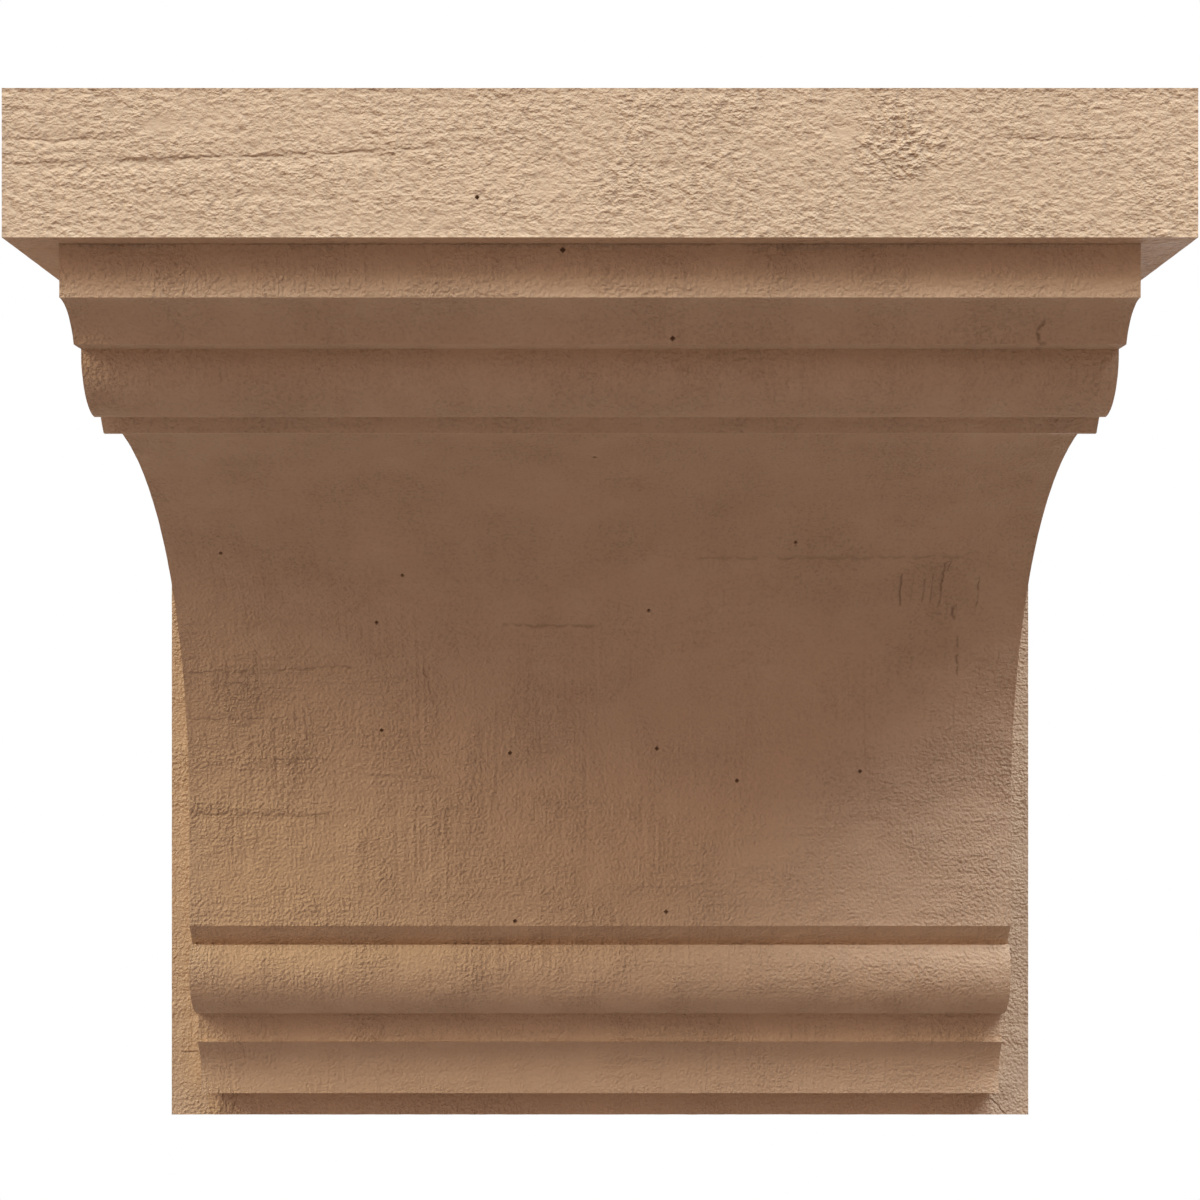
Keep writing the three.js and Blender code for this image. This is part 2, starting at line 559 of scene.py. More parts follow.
TEARS = (
    Tear(-160 * MM, -120 * MM, 139.4 * MM, 0.3 * MM, 0.34 * MM, 1.0),
    Tear(-150 * MM, -46 * MM, 132.7 * MM, 3.2 * MM, 0.42 * MM, 2.0),
    Tear(-128 * MM, -60 * MM, 124.8 * MM, 0.6 * MM, 0.2 * MM, 3.0),
    Tear(-78 * MM, -44 * MM, 144.5 * MM, 2.2 * MM, 0.2 * MM, 4.0),
    Tear(96 * MM, 134 * MM, 139.2 * MM, 0.2 * MM, 0.26 * MM, 5.0),
    Tear(-24 * MM, 40 * MM, 133.4 * MM, -1.0 * MM, 0.16 * MM, 6.0),
    Tear(86 * MM, 106 * MM, 122.6 * MM, 0.4 * MM, 0.24 * MM, 8.0),
)
BANDS = (
    Band(-137.0 * MM, -25.0 * MM, 60.0 * MM, 3.0 * MM, 0.5),
    Band(-120.0 * MM, -41.5 * MM, 50.0 * MM, 2.2 * MM, 0.6),
    Band(-118.0 * MM, -4.0 * MM, 16.0 * MM, 12.0 * MM, 0.3),
    Band(115.0 * MM, -24.0 * MM, 14.0 * MM, 11.0 * MM, 0.5),
    Band(108.0 * MM, 36.0 * MM, 12.0 * MM, 9.0 * MM, 0.25),
    Band(30.0 * MM, -12.0 * MM, 30.0 * MM, 40.0 * MM, -0.3),
    Band(0.0, -136.0 * MM, 220.0 * MM, 10.0 * MM, -0.4),
    Band(-112.0 * MM, 143.0 * MM, 5.0 * MM, 2.4 * MM, -0.8),
    Band(62.6 * MM, 141.4 * MM, 4.5 * MM, 2.6 * MM, -0.9),
    Band(-60.0 * MM, 118.0 * MM, 40.0 * MM, 3.0 * MM, -0.25),
    Band(20.0 * MM, 148.0 * MM, 30.0 * MM, 3.0 * MM, 0.2),
)


@dataclass
class SawnRelief:
    """The sawn, torn and crumbled surface that the mould gives the casting."""

    casting: Casting
    knot: Knot = field(default_factory=Knot)
    slab_grain: float = 0.14 * MM
    slab_grain_size: Size = (3.8 * MM, 1.0, 2.0 * MM)
    slab_swell: float = 0.08 * MM
    slab_swell_length: float = 45 * MM
    slab_swell_height: float = 7 * MM
    crumb: float = 0.6 * MM
    crumb_size: Size = (6 * MM, 6 * MM, 3.4 * MM)
    side_crumb: float = 0.26 * MM
    side_crumb_size: Size = (8 * MM, 8 * MM, 2.6 * MM)
    arris_share: float = 0.35
    # stored depth that counts as 1, for the finish's painted shade
    hollow_depth: float = 0.8 * MM
    patch_size: float = 17 * MM
    patch_change: float = 0.4
    small_patch_size: float = 6 * MM
    small_patch_change: float = 0.35
    mean_coarseness: float = 0.95
    least_band: float = 0.15
    patchiness: dict[Zone, float] = field(default_factory=lambda: {Zone.BELOW_SLAB: 0.4})

    def carve(self, piece: bpy.types.Object) -> None:
        """Push the skin inwards by the relief, and store how deep each point lies, which the finish turns
        into painted shade where the relief lies deepest.

        Args:
            piece: The clean casting, in object mode.
        """
        mesh = piece.data
        count = len(mesh.vertices)
        places = np.empty(count * 3, np.float32)
        normals = np.empty(count * 3, np.float32)
        mesh.vertices.foreach_get("co", places)
        mesh.vertex_normals.foreach_get("vector", normals)
        places = places.reshape(-1, 3)
        normals = normals.reshape(-1, 3)
        depths = np.empty(count)
        coarseness = np.empty(count, np.float32)
        for index, (place, normal) in enumerate(zip(places.tolist(), normals.tolist())):
            zone = self._zone(Vector(place), normal)
            coarseness[index] = self._coarseness(Vector(place), zone)
            depths[index] = self._depth(Vector(place), zone) * min(1.0, coarseness[index])
        depths = np.maximum(depths, 0.0)
        on_arris = self._arris_points(mesh)
        depths[on_arris] *= self.arris_share
        places -= normals * depths[:, None].astype(np.float32)
        mesh.vertices.foreach_set("co", places.ravel())
        # depth of each point, which the finish turns into painted shade
        hollow = mesh.attributes.new("hollow", "FLOAT", "POINT")
        hollow.data.foreach_set("value", (depths / self.hollow_depth).astype(np.float32))
        coarse = mesh.attributes.new("coarseness", "FLOAT", "POINT")
        coarse.data.foreach_set("value", coarseness)
        mesh.update()

    @staticmethod
    def _arris_points(mesh: bpy.types.Mesh) -> np.ndarray:
        """Find the points on sharp edges.

        Args:
            mesh: The casting's mesh.

        Returns:
            Their indices.
        """
        sharp = np.zeros(len(mesh.edges), bool)
        mesh.attributes["sharp_edge"].data.foreach_get("value", sharp)
        ends = np.empty(len(mesh.edges) * 2, np.int32)
        mesh.edges.foreach_get("vertices", ends)
        return np.unique(ends.reshape(-1, 2)[sharp])

    def _zone(self, place: Vector, normal: list[float]) -> Zone:
        """Zone of the skin that a point lies in.

        Args:
            place: The point.
            normal: Which way the skin faces there.

        Returns:
            The zone.
        """
        if normal[1] > 0.5:
            return Zone.WALL_FACE
        if place.z > self.casting.underside - TINY:
            return Zone.SLAB_FACE if normal[1] < -0.5 else Zone.SLAB_SIDE
        return Zone.BELOW_SLAB

    def _coarseness(self, place: Vector, zone: Zone) -> float:
        """How coarse the skin is at a point, 1 being that of the slab's front.

        Args:
            place: The point.
            zone: Zone that it lies in.

        Returns:
            The coarseness, from 0 to about 2.
        """
        coarse = zone.value
        if zone is not Zone.WALL_FACE:
            patchy = self.patchiness.get(zone, 1.0)
            patches = self.patch_change * noise.noise(place / self.patch_size)
            patches += self.small_patch_change * noise.noise(place / self.small_patch_size)
            coarse *= self.mean_coarseness + patchy * patches
        if zone in (Zone.SLAB_FACE, Zone.BELOW_SLAB):
            change = sum(band.weight(place.x, place.z) for band in BANDS)
            coarse *= max(self.least_band, 1 + change)
        if zone is Zone.SLAB_FACE:
            coarse += self.knot.coarser * self.knot.share(place.x, place.z)
        return max(0.0, coarse)

    def _depth(self, place: Vector, zone: Zone) -> float:
        """Depth of the relief at a point.

        Args:
            place: The point.
            zone: Zone that it lies in.

        Returns:
            How far it is pushed in, in metres.
        """
        if zone is Zone.WALL_FACE:
            return 0.0
        if zone is Zone.SLAB_FACE:
            return self._slab_depth(place)
        if zone is Zone.SLAB_SIDE:
            return self.side_crumb * crumbs(place, self.side_crumb_size, 3)
        return self.crumb * crumbs(place, self.crumb_size, 3)

    def _slab_depth(self, place: Vector) -> float:
        """Depth of the relief at a point of the slab's front.

        Args:
            place: The point.

        Returns:
            How far it is pushed in, in metres.
        """
        x, z = place.x, place.z
        depth = self.slab_grain * crumbs(Vector((x, 0, z)), self.slab_grain_size, 3, 0.7)
        swell = wave(x, self.slab_swell_length, 9.0, z / self.slab_swell_height)
        depth += self.slab_swell * (0.5 + 0.5 * swell)
        depth += sum(tear.fall(x, z) for tear in TEARS)
        share = self.knot.share(x, z)
        if share > 0:
            depth += share * self.knot.fall(x, z)
        return depth


@dataclass(frozen=True)
class Spot:
    """A place on the casting as the photograph shows it."""

    column: float
    row: float


@dataclass(frozen=True)
class Crease:
    """A fine crack or score between two spots."""

    start: Spot
    end: Spot
    width: float
    strength: float


@dataclass(frozen=True)
class Hook:
    """A fine curved score, open on its right."""

    middle: Spot
    radius: float
    width: float = 0.85 * MM
    strength: float = 1.2


SLAB_PINHOLES = (Spot(478, 196),)
PINHOLES = (
    Spot(562, 250),
    Spot(670, 336),
    Spot(404, 575),
    Spot(219, 552),
    Spot(797, 543),
    Spot(596, 457),
    Spot(378, 622),
    Spot(383, 730),
    Spot(510, 753),
    Spot(516, 923),
    Spot(650, 611),
    Spot(657, 750),
    Spot(738, 779),
    Spot(860, 772),
    Spot(665, 911),
)
CREASES = (
    Crease(Spot(4, 140), Spot(112, 139), 0.8 * MM, 0.45),
    Crease(Spot(4, 165), Spot(122, 161), 0.7 * MM, 0.35),
    Crease(Spot(122, 161), Spot(240, 157), 0.8 * MM, 0.6),
    Crease(Spot(240, 157), Spot(425, 149), 0.7 * MM, 0.5),
    Crease(Spot(985, 140), Spot(1130, 139), 0.7 * MM, 0.3),
    Crease(Spot(186, 674), Spot(254, 671), 0.7 * MM, 0.7),
    Crease(Spot(254, 671), Spot(350, 667), 0.6 * MM, 0.7),
    Crease(Spot(425, 671), Spot(437, 713), 0.6 * MM, 0.7),
    Crease(Spot(957, 640), Spot(957, 672), 0.7 * MM, 1.0),
    Crease(Spot(865, 700), Spot(866, 760), 0.5 * MM, 0.25),
    Crease(Spot(954, 700), Spot(954, 750), 0.5 * MM, 0.25),
    Crease(Spot(700, 558), Spot(960, 557), 0.9 * MM, 0.5),
    Crease(Spot(506, 625), Spot(594, 626), 0.8 * MM, 0.7),
    Crease(Spot(902, 575), Spot(900, 603), 0.5 * MM, 1.0),
    Crease(Spot(946, 560), Spot(939, 604), 0.6 * MM, 1.0),
    Crease(Spot(979, 580), Spot(977, 604), 0.5 * MM, 0.9),
    Crease(Spot(925, 578), Spot(923, 600), 0.5 * MM, 0.8),
    Crease(Spot(190, 720), Spot(300, 719), 0.7 * MM, 0.5),
    Crease(Spot(190, 814), Spot(330, 816), 0.9 * MM, 0.6),
    Crease(Spot(358, 775), Spot(440, 777), 0.7 * MM, 0.5),
    Crease(Spot(219, 1093), Spot(222, 1113), 0.7 * MM, 1.0),
    Crease(Spot(233, 1093), Spot(233, 1113), 0.6 * MM, 0.9),
    Crease(Spot(993, 1101), Spot(1004, 1112), 0.6 * MM, 0.9),
    Crease(Spot(186, 1052), Spot(196, 1052), 0.6 * MM, 0.9),
    Crease(Spot(240, 1043), Spot(244, 1051), 0.6 * MM, 0.7),
)
HOOKS = (
    Hook(Spot(1049, 333), 2.9 * MM),
    Hook(Spot(958, 612), 2.2 * MM),
)


@dataclass
class Marks:
    """Pinholes and creases, set where a sight line from the camera meets the casting."""

    piece: bpy.types.Object
    studio: "Studio"
    slab_pit_radius: float = 0.72 * MM
    pit_radius: float = 0.88 * MM
    pit_depth: float = 1.2 * MM
    pit_draft: float = 0.12 * MM
    # depth stored on the pinholes, which the finish paints as shade
    pit_hollow: float = 2.3
    crease_reach: float = 4.5 * MM
    crease_fade: float = 2.0 * MM
    crease_layer: float = 12.0 * MM
    far: float = 9.0

    def find(self, spot: Spot) -> Vector:
        """Find the place of a spot on the casting.

        Args:
            spot: The spot.

        Returns:
            Where its sight line meets the casting.
        """
        met, place, _, _ = self.piece.ray_cast(*self.studio.sight(spot))
        if not met:
            raise ValueError(f"{spot} is off the casting")
        return place

    def pierce(self, spots: tuple[Spot, ...], radius: float) -> None:
        """Sink pinholes, and tell the finish how deep they are, so that it paints shade inside them.

        Args:
            spots: Where they are.
            radius: Their radius, less than the spacing of the skin there.
        """
        bpy.context.view_layer.update()
        wanted = [self.find(spot) for spot in spots]
        make_active(self.piece)
        bpy.ops.object.mode_set(mode="EDIT")
        bpy.ops.mesh.select_mode(type="VERT")
        bpy.ops.mesh.select_all(action="DESELECT")
        mesh = bmesh.from_edit_mesh(self.piece.data)
        for place in wanted:
            min(mesh.verts, key=lambda vert: (vert.co - place).length_squared).select_set(True)
        bmesh.update_edit_mesh(self.piece.data)
        bpy.ops.mesh.bevel(offset=radius, affect="VERTICES", segments=1)
        bpy.ops.mesh.select_mode(type="FACE")
        bpy.ops.mesh.inset(thickness=self.pit_draft, depth=-self.pit_depth, use_individual=True)
        mesh = bmesh.from_edit_mesh(self.piece.data)
        # store the pinholes' depth, which the finish paints as shade inside them
        hollow = mesh.verts.layers.float["hollow"]
        for vert in mesh.verts:
            if vert.select:
                vert[hollow] = self.pit_hollow
        bmesh.update_edit_mesh(self.piece.data)
        bpy.ops.mesh.select_more()
        bpy.ops.mesh.region_to_loop()
        bpy.ops.mesh.mark_sharp()
        bpy.ops.object.mode_set(mode="OBJECT")
        LOG.info("%s: %d pinholes", self.piece.name, len(wanted))

    def score(self) -> None:
        """Store on each point how far it lies from the nearest crease, and how strong that is.

        The distance has a sign and counts in widths of the crease, so that the finish can draw
        the line finer than the mesh.
        """
        mesh = self.piece.data
        places = np.empty(len(mesh.vertices) * 3, np.float32)
        mesh.vertices.foreach_get("co", places)
        places = places.reshape(-1, 3)
        away = np.full(len(places), self.far, np.float32)
        strength = np.zeros(len(places), np.float32)
        for crease in CREASES:
            self._score_one(places, away, strength, crease, *self._beside(places, crease))
        for hook in HOOKS:
            self._score_one(places, away, strength, hook, *self._round(places, hook))
        for name, values in (("crease_away", away), ("crease_strength", strength)):
            mesh.attributes.new(name, "FLOAT", "POINT").data.foreach_set("value", values)
        LOG.info("%s: %d creases, %d hooks", self.piece.name, len(CREASES), len(HOOKS))

    def _beside(self, places: np.ndarray, crease: Crease) -> tuple[np.ndarray, np.ndarray]:
        """Place all points beside a straight crease.

        Args:
            places: The points.
            crease: The crease.

        Returns:
            Distance of each point from it, and how far each is inside its ends.
        """
        start, end = self.find(crease.start), self.find(crease.end)
        run, rise = end.x - start.x, end.z - start.z
        length = math.hypot(run, rise)
        across, up = places[:, 0] - start.x, places[:, 2] - start.z
        along = (across * run + up * rise) / length
        inside = np.minimum(along, length - along)
        inside[np.abs(places[:, 1] - (start.y + end.y) / 2) > self.crease_layer] = -1
        return (up * run - across * rise) / length, inside

    def _round(self, places: np.ndarray, hook: Hook) -> tuple[np.ndarray, np.ndarray]:
        """Place all points beside a hook's arc.

        Args:
            places: The points.
            hook: The hook.

        Returns:
            Distance of each point from it, and how far each is inside its ends.
        """
        middle = self.find(hook.middle)
        across, up = places[:, 0] - middle.x, places[:, 2] - middle.z
        inside = -0.6 * hook.radius - across
        inside[np.abs(places[:, 1] - middle.y) > self.crease_layer] = -1
        return np.hypot(across, up) - hook.radius, inside

    def _score_one(
        self,
        places: np.ndarray,
        away: np.ndarray,
        strength: np.ndarray,
        mark: Crease | Hook,
        aside: np.ndarray,
        inside: np.ndarray,
    ) -> None:
        """Put one crease or hook on the points that it is nearest to.

        Args:
            places: All points; not used.
            away: Distances so far, in widths, changed in place.
            strength: Strengths so far, changed in place.
            mark: The crease or hook.
            aside: Distance of each point from it.
            inside: How far each point is from its ends, less than nothing past them.
        """
        fade = self.crease_fade
        near = (np.abs(aside) < self.crease_reach) & (inside > -fade)
        near &= np.abs(aside) / mark.width < np.abs(away)
        away[near] = aside[near] / mark.width
        shown = np.clip(1 + inside / fade, 0, 1) * np.clip(2 - 2 * np.abs(aside) / self.crease_reach, 0, 1)
        strength[near] = (mark.strength * shown)[near]


@dataclass(frozen=True)
class Sun:
    """A broad soft light, placed by where it stands as seen from the corbel."""

    name: str
    azimuth: float
    elevation: float
    spread: float
    colour: tuple[float, float, float]
    standoff: float = 3.0

    def hang(self) -> None:
        """Add the light, turned towards the corbel."""
        around, above = math.radians(self.azimuth), math.radians(self.elevation)
        towards = Vector(
            (math.sin(around) * math.cos(above), -math.cos(around) * math.cos(above), math.sin(above))
        )
        data = bpy.data.lights.new(self.name, "SUN")
        data.energy = math.pi * max(self.colour)
        data.color = [channel / max(self.colour) for channel in self.colour]
        data.angle = math.radians(self.spread)
        lamp = bpy.data.objects.new(self.name, data)
        lamp.rotation_euler = towards.to_track_quat("Z", "Y").to_euler()
        lamp.location = towards * self.standoff
        bpy.context.collection.objects.link(lamp)


SUNS = (
    Sun("left_low_light", -60, 25, 45, (0.23, 0.165, 0.15)),
    Sun("left_high_light", -60, 45, 45, (0.52, 0.475, 0.31)),
    Sun("right_light", 40, 62, 45, (0.83, 0.86, 0.92)),
    Sun("top_light", 0, 66, 15, (0.094, 0.239, 0.333)),
    Sun("back_light", 170, 8, 45, (0.6, 0.64, 0.68)),
)


@dataclass
class Studio:
    """Plain studio: a pale floor, soft lights and a white surround."""

    front: float
    camera_distance: float = 543.6 * MM
    focal_length: float = 64.04
    sensor_width: float = 36.0
    image_size: float = 1200.0
    horizon_row: float = 686.3
    floor_drop: float = 1.2
    floor_size: float = 5.0
    floor_sides: int = 96
    floor_colour: tuple[float, float, float] = (0.8, 0.79, 0.77)
    floor_roughness: float = 0.8
    surround: tuple[float, float, float] = (0.282, 0.196, 0.163)

    def build(self) -> None:
        """Set the stage: camera, floor and lights."""
        self._add_camera()
        self._add_floor()
        self._light()
        bpy.context.scene.view_settings.view_transform = "Standard"

    def sight(self, spot: Spot) -> tuple[Vector, Vector]:
        """Sight line of a spot in the photograph.

        Args:
            spot: The spot.

        Returns:
            The camera's place and the direction in which it sees the spot.
        """
        focus = self.focal_length / self.sensor_width * self.image_size
        across = (spot.column - self.image_size / 2) / focus
        up = (self.horizon_row - spot.row) / focus
        return self._camera_place(), Vector((across, 1, up)).normalized()

    def _camera_place(self) -> Vector:
        """The camera's place, level with the middle of the casting."""
        return Vector((0, self.front - self.camera_distance, 0))

    def _add_camera(self) -> None:
        """Add the level camera in front of the corbel, at its middle height."""
        data = bpy.data.cameras.new("photo_camera")
        data.sensor_width = self.sensor_width
        data.lens = self.focal_length
        data.shift_y = (self.horizon_row - self.image_size / 2) / self.image_size
        camera = bpy.data.objects.new("photo_camera", data)
        camera.location = self._camera_place()
        camera.rotation_euler = (QUARTER, 0, 0)
        bpy.context.collection.objects.link(camera)
        bpy.context.scene.camera = camera

    def _add_floor(self) -> None:
        """Add the pale floor, which casts no colour on the corbel."""
        bpy.ops.object.select_all(action="DESELECT")
        bpy.ops.mesh.primitive_circle_add(
            vertices=self.floor_sides,
            radius=self.floor_size / 2,
            fill_type="NGON",
            location=(0, 0, -self.floor_drop),
        )
        floor = bpy.context.object
        floor.name = "floor"
        bpy.ops.object.transform_apply(location=True, rotation=True, scale=True)
        floor.visible_diffuse = False
        pale = bpy.data.materials.new("pale_floor")
        pale.use_nodes = True
        shader = pale.node_tree.nodes["Principled BSDF"]
        shader.inputs["Base Color"].default_value = (*self.floor_colour, 1)
        shader.inputs["Roughness"].default_value = self.floor_roughness
        floor.data.materials.append(pale)

    def _light(self) -> None:
        """Hang the lights and make the surround, which the camera sees as white."""
        for sun in SUNS:
            sun.hang()
        world = bpy.data.worlds.new("studio_surround")
        world.use_nodes = True
        bpy.context.scene.world = world
        tree = world.node_tree
        tree.nodes.clear()
        path = tree.nodes.new("ShaderNodeLightPath")
        glow = tree.nodes.new("ShaderNodeBackground")
        glow.inputs["Color"].default_value = (*self.surround, 1)
        white = tree.nodes.new("ShaderNodeBackground")
        white.inputs["Color"].default_value = (1, 1, 1, 1)
        mix = tree.nodes.new("ShaderNodeMixShader")
        output = tree.nodes.new("ShaderNodeOutputWorld")
        tree.links.new(path.outputs["Is Camera Ray"], mix.inputs["Fac"])
        tree.links.new(glow.outputs["Background"], mix.inputs[1])
        tree.links.new(white.outputs["Background"], mix.inputs[2])
        tree.links.new(mix.outputs["Shader"], output.inputs["Surface"])


class Wiring:
    """Adds and joins the nodes of one shader tree."""

    def __init__(self, tree: bpy.types.NodeTree) -> None:
        """Keep the tree to work on."""
        self.tree = tree

    def add(self, kind: str, settings: dict | None = None, **values: object) -> bpy.types.Node:
        """Add a node and fill its inputs.

        Args:
            kind: The node's type.
            settings: Properties of the node itself.
            values: A number, colour or other node's output for each input, by its name in
                lower case with _ for a space, or by n and its number.

        Returns:
            The node.
        """
        node = self.tree.nodes.new(kind)
        for key, value in (settings or {}).items():
            setattr(node, key, value)
        self.fill(node, values)
        return node

    def fill(self, node: bpy.types.Node, values: dict[str, object]) -> None:
        """Join or set the inputs of a node.

        Args:
            node: The node.
            values: What each input gets, by its name.
        """
        for key, value in values.items():
            socket = self._socket(node, key)
            if isinstance(value, bpy.types.NodeSocket):
                self.tree.links.new(value, socket)
            else:
                socket.default_value = value

    @staticmethod
    def _socket(node: bpy.types.Node, key: str) -> bpy.types.NodeSocket:
        """Find an input by its name or number."""
        if key[0] == "n" and key[1:].isdigit():
            return node.inputs[int(key[1:])]
        return next(one for one in node.inputs if one.name.lower().replace(" ", "_") == key)

    def sum(self, operation: str, *values: object) -> bpy.types.NodeSocket:
        """Work out one number from others by a Math node.

        Args:
            operation: What the node does.
            values: The numbers, in the node's order.

        Returns:
            The node's output.
        """
        numbered = {f"n{index}": value for index, value in enumerate(values)}
        return self.add("ShaderNodeMath", {"operation": operation}, **numbered).outputs[0]

    def ramp(
        self, value: object, start: float, end: float, low: float = 0.0, high: float = 1.0
    ) -> bpy.types.NodeSocket:
        """Map a number smoothly from one range to another.

        Args:
            value: The number.
            start: Where its range starts.
            end: Where its range ends.
            low: What the start becomes.
            high: What the end becomes.

        Returns:
            The mapped number.
        """
        settings = {"interpolation_type": "SMOOTHSTEP"}
        node = self.add("ShaderNodeMapRange", settings, n0=value, n1=start, n2=end, n3=low, n4=high)
        return node.outputs[0]

    def scaled(self, vector: object, scale: object) -> bpy.types.NodeSocket:
        """Stretch or squeeze a pattern's coordinates."""
        settings = {"operation": "MULTIPLY"}
        return self.add("ShaderNodeVectorMath", settings, n0=vector, n1=scale).outputs[0]

    def cloud(self, vector: object, size: float, detail: float = 2.0) -> bpy.types.NodeSocket:
        """Soft noise with features of one size, in metres."""
        return self.add("ShaderNodeTexNoise", vector=vector, scale=1 / size, detail=detail).outputs[0]


def new_group(name: str, inputs: dict[str, str], outputs: dict[str, str]) -> tuple[Wiring, dict, dict]:
    """Make a shader node group with named inputs and outputs.

    Args:
        name: Name of the group.
        inputs: Kind of each input socket, by its name.
        outputs: Kind of each output socket, by its name.

    Returns:
        The group's wiring, its inputs to read from and its outputs to join to.
    """
    tree = bpy.data.node_groups.new(name, "ShaderNodeTree")
    for sockets, way in ((inputs, "INPUT"), (outputs, "OUTPUT")):
        for label, kind in sockets.items():
            tree.interface.new_socket(label, in_out=way, socket_type=kind)
    start = tree.nodes.new("NodeGroupInput")
    end = tree.nodes.new("NodeGroupOutput")
    return Wiring(tree), start.outputs, end.inputs


FINE_NOISE = {"detail": 2.0, "roughness": 0.6}


def torn_grain_group() -> bpy.types.NodeTree:
    """Small torn crumbs of cut fibre: their height from 0 to 1, and a mask of their crevices, which the
    finish paints as shade.
    """
    wiring, given, out = new_group(
        "torn_grain",
        {
            "Vector": "NodeSocketVector",
            "Size": "NodeSocketFloat",
            "Pebble": "NodeSocketFloat",
        },
        {"Height": "NodeSocketFloat", "Crevice": "NodeSocketFloat"},
    )
    inverse = wiring.sum("DIVIDE", 1.0, given["Size"])
    soft = wiring.add(
        "ShaderNodeTexNoise", vector=given["Vector"], scale=inverse, **FINE_NOISE
    ).outputs[0]
    away = wiring.add("ShaderNodeTexVoronoi", vector=given["Vector"], scale=inverse).outputs[0]
    pebbles = wiring.sum("MULTIPLY", wiring.sum("SUBTRACT", 0.5, away), given["Pebble"])
    height = wiring.sum("ADD", soft, pebbles)
    # lowest parts of the grain, which the finish paints as shade
    crevice_shade = wiring.ramp(height, 0.52, 0.3)
    wiring.tree.links.new(height, out["Height"])
    wiring.tree.links.new(crevice_shade, out["Crevice"])
    return wiring.tree


def saw_streaks_group() -> bpy.types.NodeTree:
    """Fine streaks of a saw, upright and level, each in patches, as a height from 0 to 1."""
    wiring, given, out = new_group(
        "saw_streaks",
        {"Vector": "NodeSocketVector", "Spacing": "NodeSocketFloat"},
        {"Height": "NodeSocketFloat"},
    )
    inverse = wiring.sum("DIVIDE", 1.0, given["Spacing"])
    patch_size, least_shown, level_share = 24 * MM, 0.15, 0.8
    upright, level = ((1.0, 0.05, 0.05), 0.0), ((0.06, 1.0, 1.0), 0.3)
    layers = []
    for stretch, shift in (upright, level):
        along = wiring.scaled(given["Vector"], stretch)
        streak = wiring.add("ShaderNodeTexNoise", vector=along, scale=inverse, **FINE_NOISE).outputs[0]
        moved = wiring.add("ShaderNodeMapping", vector=given["Vector"], location=(shift, 0, 0))
        patches = wiring.cloud(moved.outputs[0], patch_size, 1.5)
        shown = wiring.ramp(patches, 0.4, 0.62, least_shown, 1.0)
        layers.append(wiring.sum("MULTIPLY", streak, shown))
    height = wiring.sum("MULTIPLY_ADD", layers[1], level_share, layers[0])
    wiring.tree.links.new(height, out["Height"])
    return wiring.tree


def specks_group() -> bpy.types.NodeTree:
    """Small pores that crowd in patches, as a mask from 0 to 1; the finish pushes them in and paints them
    darker as shade.
    """
    wiring, given, out = new_group(
        "specks",
        {"Vector": "NodeSocketVector", "Size": "NodeSocketFloat"},
        {"Mask": "NodeSocketFloat"},
    )
    crowd_size = 14 * MM
    flat = wiring.scaled(given["Vector"], (0.6, 1.0, 1.0))
    inverse = wiring.sum("DIVIDE", 1.0, given["Size"])
    grains = wiring.add("ShaderNodeTexNoise", vector=flat, scale=inverse, **FINE_NOISE)
    crowd = wiring.cloud(wiring.scaled(given["Vector"], (0.5, 1.0, 1.0)), crowd_size, 2.0)
    reach = wiring.ramp(crowd, 0.48, 0.7)
    pores = wiring.ramp(grains.outputs[0], 0.57, 0.7)
    mask = wiring.sum("MULTIPLY", pores, reach)
    wiring.tree.links.new(mask, out["Mask"])
    return wiring.tree


